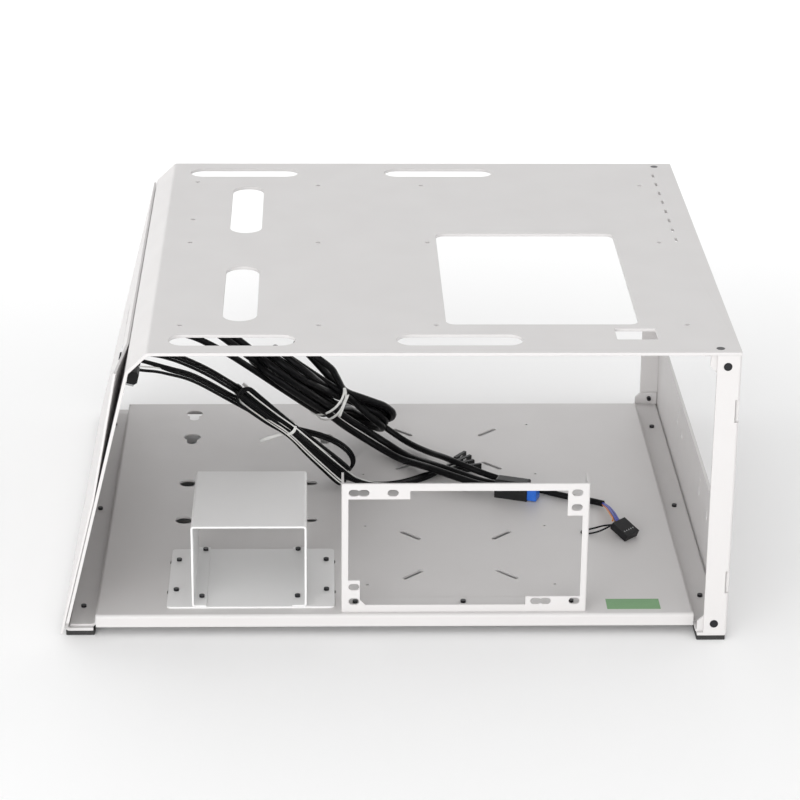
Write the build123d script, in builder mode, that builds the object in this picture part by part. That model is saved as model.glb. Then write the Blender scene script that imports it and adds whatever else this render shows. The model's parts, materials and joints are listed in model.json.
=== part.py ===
"""Open-air computer test bench: folded white sheet parts, drive cage, supply frame and front leads."""

import math
import os

from build123d import *

os.makedirs("parts", exist_ok=True)

# Overall size: X across, Y from the open front to the back, Z up from the floor
bench_width = 416.6
bench_depth = 382.0
bench_height = 192.5

# Sheet metal, bends and fits
sheet = 2.0
base_sheet = 1.5
thin_sheet = 1.2
cover_sheet = 1.5
bend_radius = 3.0
slip = 0.1
edge_reach = 1.0
fit_gap = 0.3
foot_height = 3.0

right_face = bench_width / 2
front = -bench_depth / 2
back = bench_depth / 2
plate_under = bench_height - sheet

# Screws: M3, countersunk on the frame, and small round-headed M2 elsewhere
screw_radius = 1.5
countersunk_radius = 2.6
countersunk_depth = 1.1
pan_radius = 1.7
pan_height = 1.5
pan_shank_radius = 1.0
frame_screw_length = 6.0
pan_screw_length = 5.0
hole_gap = 0.1
hole_radius = screw_radius + hole_gap
pan_hole_radius = pan_shank_radius + hole_gap

# Motherboard tray: flat top, slanted facet, leaning leg and its bottom flange
flat_length = 357.9
facet_run = 13.0
facet_drop = 12.4
leg_lean = 13.8
leg_flange = 18.5
flange_inset = 10.0
corner_notch_top = 13.0

cable_slot_length = 77.0
cable_slot_width = 18.8
cable_slot_left_x = -99.0
cable_slot_right_x = 39.3
cable_slot_edge = 22.0
side_slot_length = 102.0
side_slot_width = 21.4
side_slot_x = -95.3
side_slot_y = 85.0
cutout_width = 119.0
cutout_depth = 175.0
cutout_radius = 6.0
cutout_x = 91.5
cutout_front_edge = 48.7
window_width = 25.4
window_depth = 19.0
window_x = 147.6
window_front_edge = 22.5
window_radius = 1.0

# Motherboard stud holes: three rows and columns, and one more column for a wide board
stud_columns = (0.0, 154.94, 227.33)
stud_rows = (0.0, 157.48, 281.94)
stud_wide_column = 312.42
stud_wide_rows = (0.0, 157.48, 206.0, 290.0)
stud_first_x = 180.9
stud_first_edge = 48.0
stud_radius = 1.6
bracket_slots = 8
bracket_pitch = 20.32
bracket_slot_length = 8.0
bracket_slot_width = 1.8
bracket_slot_x = 192.8
bracket_slot_y = 90.9

# Right side frame: low wall between two posts, with flanges at the front, back, top and bottom
wall_height = 61.0
post_flange = 14.8
post_bend = 1.8
post_depth = 26.0
bottom_flange = 18.5
top_tab_width = 22.0
top_tab_depth = 13.0
frame_screw_side = 12.3
frame_screw_edge = 7.0
post_screw_side = 8.3
post_screw_top = 9.3
notch_width = 2.6
notch_height = 14.8
notch_low = 39.5
notch_high = 154.2
wall_key_radius = 2.2
wall_key_neck = 1.2
wall_key_travel = 4.0
wall_key_low_row = 40.0
wall_key_high_row = 50.5
wall_key_low = (-94.3, -53.0, 43.0, 70.2)
wall_key_high = (-55.4, 63.1)

# Tabs folded from the tray plate and from the base, held behind the post flanges
fold_tab_width = 16.2
fold_tab_drop = 12.0
fold_tab_rise = 9.0
fold_tab_cut = 3.8

# Base tray: raised floor, lips in front and behind, and a lower strip at each side
tray_rise = 13.6
strip_left_width = 15.9
strip_right_width = 16.4
tray_front_edge = 9.5
tray_back_edge = 19.0
tray_fold_run = 0.6
tray_bend = 2.0
lip_height = 8.1
lip_inset = 0.2
lip_run = 3.0
strip_gap = 1.2
strip_top = foot_height + sheet + base_sheet
strip_screw_edge = 10.8
strip_screw_left = (-154.1, -3.0, 147.6)
strip_screw_right = (-142.0, -0.6, 141.2)

# Floor openings: keyholes for drives, crossed slots for fans, and small tapped holes
key_radius = 5.9
key_neck = 3.5
key_travel = 9.0
drive_x = -89.4
large_drive_width = 95.25
large_drive_pitch = 44.45
large_drive_front_edge = 65.2
large_drive_back_y = 129.2
small_drive_length = 76.6
small_drive_width = 61.72
small_drive_y = -6.2
fan_x = 44.5
fan_front_y = -92.8
fan_back_y = 84.7
fan_small_pitch = 50.0
fan_large_pitch = 71.5
fan_slot_width = 3.2
tapped_radius = 1.0
tapped_span_x = 120.0
tapped_span_y = 90.4

# Feet
foot_width = 18.0
foot_length = 45.0
foot_shift = 1.2
foot_round = 1.0

# Supply frame on the floor's front edge: opening, corner tabs and the supply's screw pattern
supply_x = 44.25
supply_width = 153.5
supply_height = 87.4
supply_front_edge = 13.4
supply_side_bar = 4.2
supply_cross_bar = 4.8
supply_flange = 18.0
supply_pattern_width = 138.0
supply_pattern_height = 74.0
supply_hole_rise = 7.2
supply_slot_length = 6.8
supply_slot_height = 4.4
supply_double = 6.0
supply_third = 24.0
supply_second_row = 10.0
supply_tab = 5.6
supply_long_tab = 38.2
supply_tall_tab = 16.9
supply_narrow_tab = 7.3
supply_right_tab = 9.4
supply_wide_tab = 34.1
supply_corner_cut = 3.5
supply_bend = 1.2
supply_screw_edge = 24.0
supply_screw_shift = 68.0

# Drive cage on its base plate
cage_width = 71.9
cage_height = 55.2
cage_length = 86.7
cage_lip = 9.0
cage_round = 2.0
cage_x = -90.2
cage_front_edge = 18.8
cage_screw_width = 60.2
cage_screw_pitch = 69.9
cage_screw_shift = 3.8
cage_slot_width = 3.4
cage_slot_height = 38.0
plate_width = 105.5
plate_length = 86.0
plate_round = 3.0
bush_radius = key_radius - fit_gap
bush_flange = 7.4
bush_depth = 2.0

# Front cover over the leg, with the ports and buttons in a row
cover_gap = 0.3
cover_top = 178.0
cover_bottom = 5.4
cover_corner_z = 95.0
cover_corner_run = 55.0
cover_corner_angle = 6.0
port_z = 139.0
port_height = 8.6
port_depth = 7.2
usb_y = 16.0
usb_length = 34.0
usb_pitch = 16.0
usb_mouth_width = 14.4
usb_mouth_height = 6.6
usb_wall = 0.7
usb_tongue = 1.8
usb_mouth_depth = 6.0
port_chamfer = 1.6
audio_y = -18.0
audio_length = 26.0
audio_pitch = 12.0
audio_barrel = 3.4
audio_bore = 1.8
reset_y = -58.0
reset_radius = 2.8
power_y = -84.5
power_radius = 5.0
switch_length = 13.0
button_proud = 1.2
button_rim = 1.2
button_rim_height = 1.0
button_travel = 1.2
button_round = 0.6
plunger_radius = 1.8
plunger_length = 2.4
led_radius = 1.5
led_ys = (-44.5, -40.5)
led_proud = 0.4
led_rim = 1.9
led_rim_height = 1.0
switch_back = 3.9
port_shelf = 7.6
port_leaf = 14.0
bracket_screw_inset = 8.0
bracket_screw_drop = 8.4
bracket_screw_length = thin_sheet + sheet

# Label stuck on the floor
label_length = 33.7
label_width = 14.3
label_thick = 0.15
label_x = 151.6
label_front_edge = 23.4

# Cords: thicknesses, the hanks' outlines along their axes (distance, radius), ties and plugs
usb_cord = 5.0
audio_cord = 4.5
lead_ribbon = 4.5
lead_pair = 2.6
loop_lead = 2.6
jumper_wire = 1.2
wire_bundle = 3.6
arc_share = 0.45
cord_lead_out = 13.0
lead_lead_out = 7.0
usb_plug_lead_in = 9.0
usb_cord_shift = usb_cord / 2 + slip
cord_hank_outline = ((0, 9), (10, 14), (30, 16), (70, 11.5), (104, 17), (120, 15), (129, 9.5), (134, 5))
cord_hank_top = (-75.6, 36.0, 106.2)
cord_hank_foot = (0.4, 106.0, 17.0)
cord_tie_place = 70.0
lead_hank_outline = ((0, 3.5), (20, 7.5), (48, 4.2), (78, 6.5), (104, 5.5), (111, 3))
lead_hank_top = (-97.7, -10.0, 98.1)
lead_hank_foot = (-25.6, 20.7, 19.5)
lead_tie_place = 48.0
tie_width = 2.4
tie_thick = 0.9
usb_plug_size = (23.0, 10.4, 13.2)
usb_plug_place = (86.0, 0.0)
usb_plug_turn = -20.0
usb_plug_round = 1.5
usb_insert_size = (6.5, 8.5, 8.2)
usb_insert_rise = 0.8
pin_plug_length = 14.0
pin_plug_width = 12.7
pin_plug_thick = 5.1
pin_plug_edge = (160.2, -69.3, tray_rise)
pin_plug_turn = 45.6
pin_plug_tilt = 24.2
pin_window = 1.2
pin_window_pitch = 2.2
pin_window_count = 5
pin_window_edge = 4.2
pin_window_depth = 0.4
lead_plug_size = (14.0, 2.6, 5.1)
lead_plug_ends = ((56.9, 69.2, 56.6), (60.4, 62.5, 45.6), (62.3, 54.0, 30.7), (67.0, 47.2, 19.9))

# The leg's own frame: along -Y, up the slope, and outward
leg_top_x = right_face - flat_length - facet_run
leg_top_z = bench_height - facet_drop
lean = math.radians(leg_lean)


def leg_x(z):
    """X of the leg's outer face at height z."""
    return leg_top_x - math.tan(lean) * (leg_top_z - z)


outward = Vector(-math.cos(lean), 0, math.sin(lean))
upslope = Vector(math.sin(lean), 0, math.cos(lean))
leg_origin = Vector(leg_x(port_z), 0, port_z)


def leg_point(y, up=0.0, out=0.0):
    """Point at a place along Y, a distance up the leg's slope and a distance outward of its face."""
    return leg_origin + Vector(0, y, 0) + upslope * up + outward * out


def on_leg(y, up=0.0, out=0.0):
    """Plane there that faces outward, with its X along -Y and its Y up the slope."""
    return Plane(origin=leg_point(y, up, out), x_dir=(0, -1, 0), z_dir=outward)


def slope(z):
    """Distance up the leg's slope from the port row to height z."""
    return (z - port_z) / math.cos(lean)


cover_face = cover_gap + cover_sheet


top_down = (Align.CENTER, Align.CENTER, Align.MAX)
bottom_up = (Align.CENTER, Align.CENTER, Align.MIN)


def save(part, name):
    """Label one finished piece and write its STEP file."""
    part.label = name
    export_step(part, f"parts/{name}.step")


def countersunk_screw():
    """Countersunk screw with its head's face at the current location."""
    Cone(screw_radius, countersunk_radius, countersunk_depth, align=top_down)
    Cylinder(screw_radius, frame_screw_length, align=top_down)


def pan_screw(length=pan_screw_length):
    """Pan-head screw with its head standing on the current location."""
    Cylinder(pan_radius, pan_height, align=bottom_up)
    Cylinder(pan_shank_radius, length, align=top_down)


def keyhole(radius, neck, travel):
    """Keyhole outline at the current location: round entry, and a neck along -Y."""
    Circle(radius)
    with Locations((0, -travel / 2)):
        SlotCenterToCenter(travel, 2 * neck, rotation=90)


frame_screw_x = right_face - frame_screw_side
post_screw_x = right_face - post_screw_side
frame_screws_top = [
    (frame_screw_x, y, bench_height) for y in (front + frame_screw_edge, back - frame_screw_edge)
]
post_screw_bottom = strip_top + fold_tab_rise / 2
post_screw_heights = (bench_height - post_screw_top, post_screw_bottom)
front_screw_planes = [Plane(origin=(post_screw_x, front, z), z_dir=(0, -1, 0)) for z in post_screw_heights]
back_screw_planes = [Plane(origin=(post_screw_x, back, z), z_dir=(0, 1, 0)) for z in post_screw_heights]
strip_left_x = leg_x(foot_height) + leg_flange / 2 + base_sheet
strip_right_x = right_face - strip_screw_edge
strip_screws = [(strip_left_x, y, strip_top) for y in strip_screw_left]
strip_screws += [(strip_right_x, y, strip_top) for y in strip_screw_right]
tab_front_y = front + sheet + slip
tab_back_y = back - sheet - slip
tab_left_x = right_face - sheet - fit_gap - fold_tab_width

# Places that several pieces share
leg_foot_x = leg_x(foot_height)
tray_under = tray_rise - base_sheet
tray_front = front + tray_front_edge
tray_back = back - tray_back_edge
floor_front = tray_front + lip_run
floor_back = tray_back - lip_run
strip_left_edge = leg_x(strip_top) + sheet / math.cos(lean) + strip_gap
strip_right_edge = right_face - sheet - strip_gap
tray_left = strip_left_edge + strip_left_width
tray_right = strip_right_edge - strip_right_width
plate_top = tray_rise + thin_sheet
cage_y = front + cage_front_edge + cage_length / 2
large_drive_front_y = front + large_drive_front_edge
supply_y = front + supply_front_edge
supply_screw_y = front + supply_screw_edge
supply_holes_x = supply_x - supply_pattern_width / 2
supply_holes_z = tray_rise + supply_hole_rise
button_inner = -sheet - fit_gap - button_rim_height
switch_face = button_inner - button_travel - fit_gap
port_face = -sheet - slip
buttons = {"power": (power_y, power_radius), "reset": (reset_y, reset_radius)}
usb_ys = (usb_y - usb_pitch / 2, usb_y + usb_pitch / 2)
audio_ys = (audio_y - audio_pitch / 2, audio_y + audio_pitch / 2)
bracket_front = power_y - switch_length / 2
bracket_back = usb_y + usb_length / 2
bracket_screw_ys = (bracket_front + bracket_screw_inset, bracket_back - bracket_screw_inset)
bracket_screw_up = -port_height / 2 - bracket_screw_drop
bracket_screw_planes = [
    Plane(origin=leg_point(y, bracket_screw_up, -sheet - thin_sheet), z_dir=outward * -1)
    for y in bracket_screw_ys
]


# Cutters for the row of ports, buttons and lights, through the cover and the leg together
with BuildPart() as port_cutters:
    for y in usb_ys:
        with BuildSketch(on_leg(y, 0, cover_face)):
            Rectangle(usb_mouth_width + 2 * fit_gap, usb_mouth_height + 2 * fit_gap)
    for y in audio_ys:
        with BuildSketch(on_leg(y, 0, cover_face)):
            Circle(audio_barrel + fit_gap)
    for y, radius in buttons.values():
        with BuildSketch(on_leg(y, 0, cover_face)):
            Circle(radius + fit_gap)
    for y in led_ys:
        with BuildSketch(on_leg(y, 0, cover_face)):
            Circle(led_radius + hole_gap)
    extrude(amount=port_face - cover_face)

# Motherboard tray
cable_slot_places = [
    (x, y)
    for x in (cable_slot_left_x, cable_slot_right_x)
    for y in (front + cable_slot_edge, back - cable_slot_edge)
]
stud_front = front + stud_first_edge
stud_places = [(stud_first_x - x, stud_front + y) for x in stud_columns for y in stud_rows]
stud_places += [(stud_first_x - stud_wide_column, stud_front + y) for y in stud_wide_rows]
with BuildPart() as motherboard_tray:
    with BuildSketch(Plane.XZ.offset(front)):
        with BuildLine():
            skin = FilletPolyline(
                (right_face, bench_height),
                (right_face - flat_length, bench_height),
                (leg_top_x, leg_top_z),
                (leg_foot_x, foot_height),
                (leg_foot_x + leg_flange, foot_height),
                radius=bend_radius,
            )
            offset(skin, amount=sheet, side=Side.LEFT)
        make_face()
    extrude(amount=bench_depth)
    with BuildSketch(Plane.XY.offset(bench_height)):
        with Locations(*cable_slot_places):
            SlotOverall(cable_slot_length, cable_slot_width)
        with Locations((side_slot_x, -side_slot_y), (side_slot_x, side_slot_y)):
            SlotOverall(side_slot_length, side_slot_width, rotation=90)
        with Locations((cutout_x, front + cutout_front_edge + cutout_depth / 2)):
            RectangleRounded(cutout_width, cutout_depth, cutout_radius)
        with Locations((window_x, front + window_front_edge + window_depth / 2)):
            RectangleRounded(window_width, window_depth, window_radius)
        with Locations(*stud_places):
            Circle(stud_radius)
        with Locations((bracket_slot_x, bracket_slot_y)):
            with GridLocations(0, bracket_pitch, 1, bracket_slots):
                SlotOverall(bracket_slot_length, bracket_slot_width, rotation=90)
    extrude(amount=-2 * sheet, mode=Mode.SUBTRACT)
    with BuildSketch(Plane.XY):
        with Locations((leg_foot_x + leg_flange, front), (leg_foot_x + leg_flange, back)):
            Rectangle(2 * (leg_flange + 2 * sheet), 2 * flange_inset)
    extrude(amount=corner_notch_top, mode=Mode.SUBTRACT)
    for tab_plane in (Plane.XZ.offset(-tab_front_y), Plane.XZ.offset(-tab_back_y + sheet)):
        with BuildSketch(tab_plane):
            with BuildLine():
                Polyline(
                    (tab_left_x, plate_under + sheet / 2),
                    (tab_left_x, plate_under - fold_tab_drop + fold_tab_cut),
                    (tab_left_x + fold_tab_cut, plate_under - fold_tab_drop),
                    (tab_left_x + fold_tab_width, plate_under - fold_tab_drop),
                    (tab_left_x + fold_tab_width, plate_under + sheet / 2),
                    close=True,
                )
            make_face()
        extrude(amount=-sheet)
    with Locations(*frame_screws_top):
        CounterSinkHole(hole_radius, countersunk_radius + hole_gap, depth=2 * sheet)
    with Locations(front_screw_planes[0], back_screw_planes[0]):
        Cylinder(hole_radius, frame_screw_length + sheet, align=top_down, mode=Mode.SUBTRACT)
    with Locations(*[(strip_left_x, y, 0) for y in strip_screw_left]):
        Cylinder(pan_hole_radius, foot_height + 2 * sheet, align=bottom_up, mode=Mode.SUBTRACT)
    with Locations(*bracket_screw_planes):
        Cylinder(pan_hole_radius, bracket_screw_length, align=top_down, mode=Mode.SUBTRACT)
    add(port_cutters.part, mode=Mode.SUBTRACT)
save(motherboard_tray.part, "motherboard_tray")

# Front cover: flat sheet on the leg, with its open front corner sprung outward along a fold
cover_low = slope(cover_bottom)
cover_high = slope(cover_top)
corner_fold_low = slope(cover_corner_z)
fold_start = leg_point(front, corner_fold_low, cover_gap)
fold_end = leg_point(front + cover_corner_run, cover_high, cover_gap)
corner_tip = leg_point(front, cover_high, cover_gap)
fold_line = fold_end - fold_start
sprung_out = outward.rotate(Axis((0, 0, 0), fold_line), -cover_corner_angle)
sprung = Plane(origin=fold_start, x_dir=fold_line, z_dir=sprung_out)
unsprung = Plane(origin=fold_start, x_dir=fold_line, z_dir=outward)
tip_place = unsprung.to_local_coords(corner_tip)
with BuildPart() as front_cover:
    with BuildSketch(on_leg(0, 0, cover_gap)):
        with BuildLine():
            Polyline(
                (back, cover_low),
                (front, cover_low),
                (front, cover_high),
                (back - cover_corner_run, cover_high),
                (back, corner_fold_low),
                close=True,
            )
        make_face()
    extrude(amount=cover_sheet)
    with BuildSketch(sprung):
        with BuildLine():
            Polyline(
                (0, 0),
                (fold_line.length, 0),
                (tip_place.X, tip_place.Y),
                close=True,
            )
        make_face()
    extrude(amount=cover_sheet)
    add(port_cutters.part, mode=Mode.SUBTRACT)
save(front_cover.part, "front_cover")

# Right side frame
with BuildPart() as side_frame:
    with BuildSketch(Plane.YZ.offset(right_face)):
        with Locations((0, foot_height)):
            Rectangle(bench_depth, plate_under - foot_height, align=(Align.CENTER, Align.MIN))
        with Locations((0, wall_height)):
            opening_height = plate_under - wall_height
            Rectangle(
                bench_depth - 2 * post_depth,
                opening_height,
                align=(Align.CENTER, Align.MIN),
                mode=Mode.SUBTRACT,
            )
    extrude(amount=-sheet)
    for flange_plane, inward in ((Plane.XZ.offset(-front), -sheet), (Plane.XZ.offset(-back), sheet)):
        with BuildSketch(flange_plane):
            with Locations((right_face, foot_height)):
                Rectangle(post_flange, plate_under - foot_height, align=(Align.MAX, Align.MIN))
        extrude(amount=inward)
    with BuildSketch(Plane.XY.offset(foot_height)):
        with Locations((right_face, 0)):
            Rectangle(bottom_flange, bench_depth, align=(Align.MAX, Align.CENTER))
    extrude(amount=sheet)
    with BuildSketch(Plane.XY.offset(plate_under)):
        with Locations((right_face, tab_front_y + sheet + fit_gap)):
            Rectangle(top_tab_width, top_tab_depth, align=(Align.MAX, Align.MIN))
        with Locations((right_face, tab_back_y - sheet - fit_gap)):
            Rectangle(top_tab_width, top_tab_depth, align=(Align.MAX, Align.MAX))
    extrude(amount=-sheet)
    outer_edges = side_frame.faces().sort_by(Axis.X)[-1].edges()
    bend_edges = outer_edges.filter_by(Axis.Z).filter_by_position(Axis.Y, front - edge_reach, front + edge_reach)
    bend_edges += outer_edges.filter_by(Axis.Z).filter_by_position(Axis.Y, back - edge_reach, back + edge_reach)
    foot_reach = (foot_height - edge_reach, foot_height + edge_reach)
    bend_edges += outer_edges.filter_by(Axis.Y).filter_by_position(Axis.Z, *foot_reach)
    fillet(bend_edges, post_bend)
    with BuildSketch(Plane.XZ.offset(-front)):
        with Locations((right_face, notch_low), (right_face, notch_high)):
            Rectangle(2 * notch_width, notch_height)
    extrude(amount=-sheet, mode=Mode.SUBTRACT)
    with BuildSketch(Plane.YZ.offset(right_face)):
        with Locations(
            *[(y, wall_key_low_row) for y in wall_key_low],
            *[(y, wall_key_high_row) for y in wall_key_high],
        ):
            Circle(wall_key_radius)
            with Locations((0, wall_key_travel / 2)):
                SlotCenterToCenter(wall_key_travel, 2 * wall_key_neck, rotation=90)
    extrude(amount=-sheet, mode=Mode.SUBTRACT)
    with Locations(*frame_screws_top):
        Cylinder(hole_radius, frame_screw_length + sheet, align=top_down, mode=Mode.SUBTRACT)
    with Locations(*front_screw_planes, *back_screw_planes):
        CounterSinkHole(hole_radius, countersunk_radius + hole_gap, depth=2 * sheet)
    with Locations(*[(strip_right_x, y, 0) for y in strip_screw_right]):
        Cylinder(pan_hole_radius, foot_height + 2 * sheet, align=bottom_up, mode=Mode.SUBTRACT)
save(side_frame.part, "right_side_frame")

# Base tray
large_drive_places = [
    (x, y)
    for x in (drive_x - large_drive_width / 2, drive_x + large_drive_width / 2)
    for y in (large_drive_front_y, large_drive_back_y)
]
large_key_places = [
    (x, y + shift)
    for x, y in large_drive_places
    for shift in (-large_drive_pitch / 2, large_drive_pitch / 2)
]
plate_screw_places = [
    (x, large_drive_front_y + shift)
    for x in (drive_x - large_drive_width / 2, drive_x + large_drive_width / 2)
    for shift in (-large_drive_pitch / 2, large_drive_pitch / 2)
]
supply_screw_places = [
    (supply_x + shift, supply_screw_y) for shift in (-supply_screw_shift, 0, supply_screw_shift)
]
fan_reach = (fan_small_pitch + fan_large_pitch) / 4
fan_slot_run = (fan_large_pitch - fan_small_pitch) / math.sqrt(2)
with BuildPart() as base_tray:
    with BuildSketch(Plane.XZ.offset(-floor_back)):
        with BuildLine():
            floor_line = FilletPolyline(
                (strip_left_edge, strip_top),
                (tray_left - tray_fold_run, strip_top),
                (tray_left, tray_rise),
                (tray_right, tray_rise),
                (tray_right + tray_fold_run, strip_top),
                (strip_right_edge, strip_top),
                radius=tray_bend,
            )
            offset(floor_line, amount=base_sheet, side=Side.RIGHT)
        make_face()
    extrude(amount=floor_back - floor_front)
    for lip_y, floor_end, side in ((tray_front, floor_front, Side.LEFT), (tray_back, floor_back, Side.RIGHT)):
        with BuildSketch(Plane.YZ.offset(tray_left + lip_inset)):
            with BuildLine():
                lip_line = FilletPolyline(
                    (floor_end, tray_rise),
                    (lip_y, tray_rise),
                    (lip_y, tray_rise - lip_height),
                    radius=tray_bend,
                )
                offset(lip_line, amount=base_sheet, side=side)
            make_face()
        extrude(amount=tray_right - tray_left - 2 * lip_inset)
    with BuildSketch(Plane.XY.offset(strip_top)):
        for start, end in ((tab_front_y, floor_front), (floor_back, tab_back_y)):
            with Locations((strip_right_edge, start)):
                Rectangle(fold_tab_width, end - start, align=(Align.MAX, Align.MIN))
    extrude(amount=-base_sheet)
    for tab_plane in (Plane.XZ.offset(-tab_front_y), Plane.XZ.offset(-tab_back_y + base_sheet)):
        with BuildSketch(tab_plane):
            with BuildLine():
                Polyline(
                    (tab_left_x, strip_top - base_sheet / 2),
                    (tab_left_x, strip_top + fold_tab_rise - fold_tab_cut),
                    (tab_left_x + fold_tab_cut, strip_top + fold_tab_rise),
                    (tab_left_x + fold_tab_width, strip_top + fold_tab_rise),
                    (tab_left_x + fold_tab_width, strip_top - base_sheet / 2),
                    close=True,
                )
            make_face()
        extrude(amount=-base_sheet)
    with BuildSketch(Plane.XY.offset(tray_rise)):
        with Locations(*large_key_places):
            keyhole(key_radius, key_neck, key_travel)
        for side in (-1, 1):
            for row in (-1, 1):
                neck_x = drive_x + side * small_drive_length / 2
                key_y = small_drive_y + row * small_drive_width / 2
                with Locations(Location((neck_x - key_travel, key_y), 90)):
                    keyhole(key_radius, key_neck, key_travel)
        for fan_y in (fan_front_y, fan_back_y):
            for turn in (45, 135, 225, 315):
                spoke = Location((fan_x, fan_y), turn) * Location((fan_reach * math.sqrt(2), 0))
                with Locations(spoke):
                    SlotCenterToCenter(fan_slot_run, fan_slot_width)
            with Locations((fan_x, fan_y)):
                with GridLocations(tapped_span_x, tapped_span_y, 2, 2):
                    Circle(tapped_radius)
        with Locations(*supply_screw_places):
            Circle(pan_hole_radius)
    extrude(amount=-2 * base_sheet, mode=Mode.SUBTRACT)
    with Locations(*strip_screws):
        Cylinder(pan_hole_radius, 2 * base_sheet, mode=Mode.SUBTRACT)
    with Locations(front_screw_planes[1], back_screw_planes[1]):
        Cylinder(hole_radius, frame_screw_length + sheet, align=top_down, mode=Mode.SUBTRACT)
save(base_tray.part, "base_tray")

# Feet
foot_places = {
    "foot_left_front": (leg_foot_x + leg_flange / 2 + foot_shift, front + flange_inset, Align.MIN),
    "foot_left_back": (leg_foot_x + leg_flange / 2 + foot_shift, back - flange_inset, Align.MAX),
    "foot_right_front": (right_face - bottom_flange / 2 - foot_shift / 2, front, Align.MIN),
    "foot_right_back": (right_face - bottom_flange / 2 - foot_shift / 2, back, Align.MAX),
}
for name, (x, y, side) in foot_places.items():
    with BuildPart() as foot:
        with Locations((x, y, 0)):
            Box(foot_width, foot_length, foot_height, align=(Align.CENTER, side, Align.MIN))
        fillet(foot.edges().filter_by(Axis.Z), foot_round)
    save(foot.part, name)

# Supply frame
opening_left = supply_x - supply_width / 2 + supply_side_bar
opening_right = supply_x + supply_width / 2 - supply_side_bar
opening_low = tray_rise + supply_cross_bar
opening_high = tray_rise + supply_height - supply_cross_bar
upper_row = supply_holes_z + supply_pattern_height
far_column = supply_holes_x + supply_pattern_width
supply_holes = [
    (supply_holes_x, upper_row),
    (supply_holes_x + supply_double, upper_row),
    (supply_holes_x + supply_third, upper_row),
    (far_column, upper_row),
    (far_column, upper_row - supply_second_row),
    (supply_holes_x, supply_holes_z + supply_second_row),
    (supply_holes_x, supply_holes_z),
    (far_column, supply_holes_z),
    (far_column - supply_third, supply_holes_z),
    (far_column - supply_third + supply_double, supply_holes_z),
]
with BuildPart() as supply_frame:
    with BuildSketch(Plane.XZ.offset(-supply_y)):
        with Locations((supply_x, tray_rise)):
            Rectangle(supply_width, supply_height, align=(Align.CENTER, Align.MIN))
        with BuildLine():
            Polyline(
                (opening_left + supply_long_tab, opening_high),
                (opening_left + supply_long_tab, opening_high - supply_tab),
                (opening_left, opening_high - supply_tab),
                (opening_left, opening_low + supply_tall_tab),
                (opening_left + supply_narrow_tab, opening_low + supply_tall_tab),
                (opening_left + supply_narrow_tab, opening_low + supply_corner_cut),
                (opening_left + supply_narrow_tab + supply_corner_cut, opening_low),
                (opening_right - supply_wide_tab, opening_low),
                (opening_right - supply_wide_tab, opening_low + supply_tab),
                (opening_right, opening_low + supply_tab),
                (opening_right, opening_high - supply_tall_tab),
                (opening_right - supply_right_tab, opening_high - supply_tall_tab),
                (opening_right - supply_right_tab, opening_high),
                close=True,
            )
        make_face(mode=Mode.SUBTRACT)
        with Locations(*supply_holes):
            SlotOverall(supply_slot_length, supply_slot_height, mode=Mode.SUBTRACT)
    extrude(amount=-base_sheet)
    for side_x, side in ((supply_x - supply_width / 2, Align.MIN), (supply_x + supply_width / 2, Align.MAX)):
        with Locations((side_x, supply_y, tray_rise)):
            Box(base_sheet, supply_flange, supply_height, align=(side, Align.MIN, Align.MIN))
    with Locations((supply_x, supply_y, tray_rise)):
        Box(supply_width, supply_flange, base_sheet, align=(Align.CENTER, Align.MIN, Align.MIN))
    bend_edges = supply_frame.edges().filter_by(Axis.Z).group_by(Axis.Y)[0].sort_by(Axis.X)
    fillet([bend_edges[0], bend_edges[-1]], supply_bend)
    with Locations(*[(x, y, tray_rise) for x, y in supply_screw_places]):
        Cylinder(pan_hole_radius, 2 * base_sheet, mode=Mode.SUBTRACT)
save(supply_frame.part, "supply_frame")

# Drive cage base plate and the soft bushes that sit in the floor's keyholes
cage_screw_places = [
    (cage_x + side * cage_screw_width / 2, cage_y + cage_screw_shift + row * cage_screw_pitch / 2)
    for side in (-1, 1)
    for row in (-1, 1)
]
with BuildPart() as drive_cage_base:
    with BuildSketch(Plane.XY.offset(tray_rise)):
        with Locations((drive_x, cage_y)):
            RectangleRounded(plate_width, plate_length, plate_round)
        with Locations(*plate_screw_places, *cage_screw_places):
            Circle(pan_hole_radius, mode=Mode.SUBTRACT)
    extrude(amount=thin_sheet)
save(drive_cage_base.part, "drive_cage_base")

with BuildPart() as cage_bushes:
    with Locations(*[(x, y, tray_rise) for x, y in plate_screw_places]):
        Cylinder(bush_radius, base_sheet + bush_depth, align=top_down)
    with Locations(*[(x, y, tray_under) for x, y in plate_screw_places]):
        Cylinder(bush_flange, bush_depth, align=top_down)
    with Locations(*[(x, y, tray_rise) for x, y in plate_screw_places]):
        Cylinder(pan_hole_radius, base_sheet + bush_depth, align=top_down, mode=Mode.SUBTRACT)
save(cage_bushes.part, "cage_bushes")

# Drive cage
cage_left = cage_x - cage_width / 2
cage_right = cage_x + cage_width / 2
cage_top = plate_top + cage_height
with BuildPart() as drive_cage:
    with BuildSketch(Plane.XZ.offset(-cage_y - cage_length / 2)):
        with BuildLine():
            wrap = FilletPolyline(
                (cage_left + cage_lip, plate_top),
                (cage_left, plate_top),
                (cage_left, cage_top),
                (cage_right, cage_top),
                (cage_right, plate_top),
                (cage_right - cage_lip, plate_top),
                radius=cage_round,
            )
            offset(wrap, amount=thin_sheet, side=Side.RIGHT)
        make_face()
    extrude(amount=cage_length)
    with BuildSketch(Plane.YZ.offset(cage_left)):
        with Locations((cage_y, plate_top + cage_height / 2)):
            with GridLocations(small_drive_length, 0, 2, 1):
                SlotOverall(cage_slot_height, cage_slot_width, rotation=90)
    extrude(amount=cage_width, mode=Mode.SUBTRACT)
    with Locations(*[(x, y, plate_top) for x, y in cage_screw_places]):
        Cylinder(pan_hole_radius, 3 * thin_sheet, mode=Mode.SUBTRACT)
save(drive_cage.part, "drive_cage")

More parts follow.
